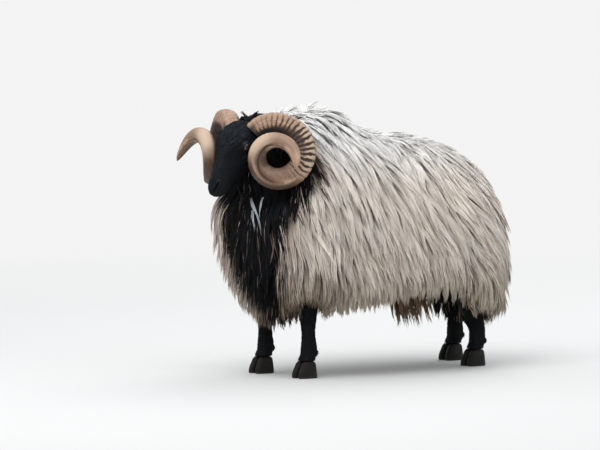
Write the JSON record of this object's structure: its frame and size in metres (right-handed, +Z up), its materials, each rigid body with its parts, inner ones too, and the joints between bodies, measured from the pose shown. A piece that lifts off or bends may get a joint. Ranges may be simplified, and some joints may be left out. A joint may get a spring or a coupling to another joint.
{
  "type": "horned ram, grey heath sheep, life-size still model",
  "caption": "Standing grey heath ram with long shaggy fleece, black face, bib and legs, and curled ridged horns, head bowed and turned a little left.",
  "frame": {"origin": "on the ground below the middle of the ram's whole box", "axes": "+Z up, the ram faces -Y, and +X is its own left side"},
  "size_m": [0.4922, 1.04, 0.7558],
  "materials": {
    "fleece": "long open shaggy wool, light grey on the back and beige grey on the flanks",
    "black_coat": "short dense black hair on face, ears and legs, longer on throat and chest",
    "horn": "dry beige horn with brown in the cross ridges",
    "hoof": "dark matt hoof horn",
    "eye": "wet amber eye with a dark level pupil"
  },
  "bodies": {
    "root": {"trunk": "fleece", "tail": "fleece", "neck": "fleece", "head": "black_coat", "jaw": "black_coat", "eye_left": "eye", "eye_right": "eye", "ear_left": "black_coat", "ear_right": "black_coat", "horn_left": "horn", "horn_right": "horn", "leg_fore_left": "black_coat", "leg_fore_right": "black_coat", "leg_hind_left": "black_coat", "leg_hind_right": "black_coat", "claw_fore_left_outer": "hoof", "claw_fore_left_inner": "hoof", "claw_fore_right_outer": "hoof", "claw_fore_right_inner": "hoof", "claw_hind_left_outer": "hoof", "claw_hind_left_inner": "hoof", "claw_hind_right_outer": "hoof", "claw_hind_right_inner": "hoof"}
  },
  "joints": []
}
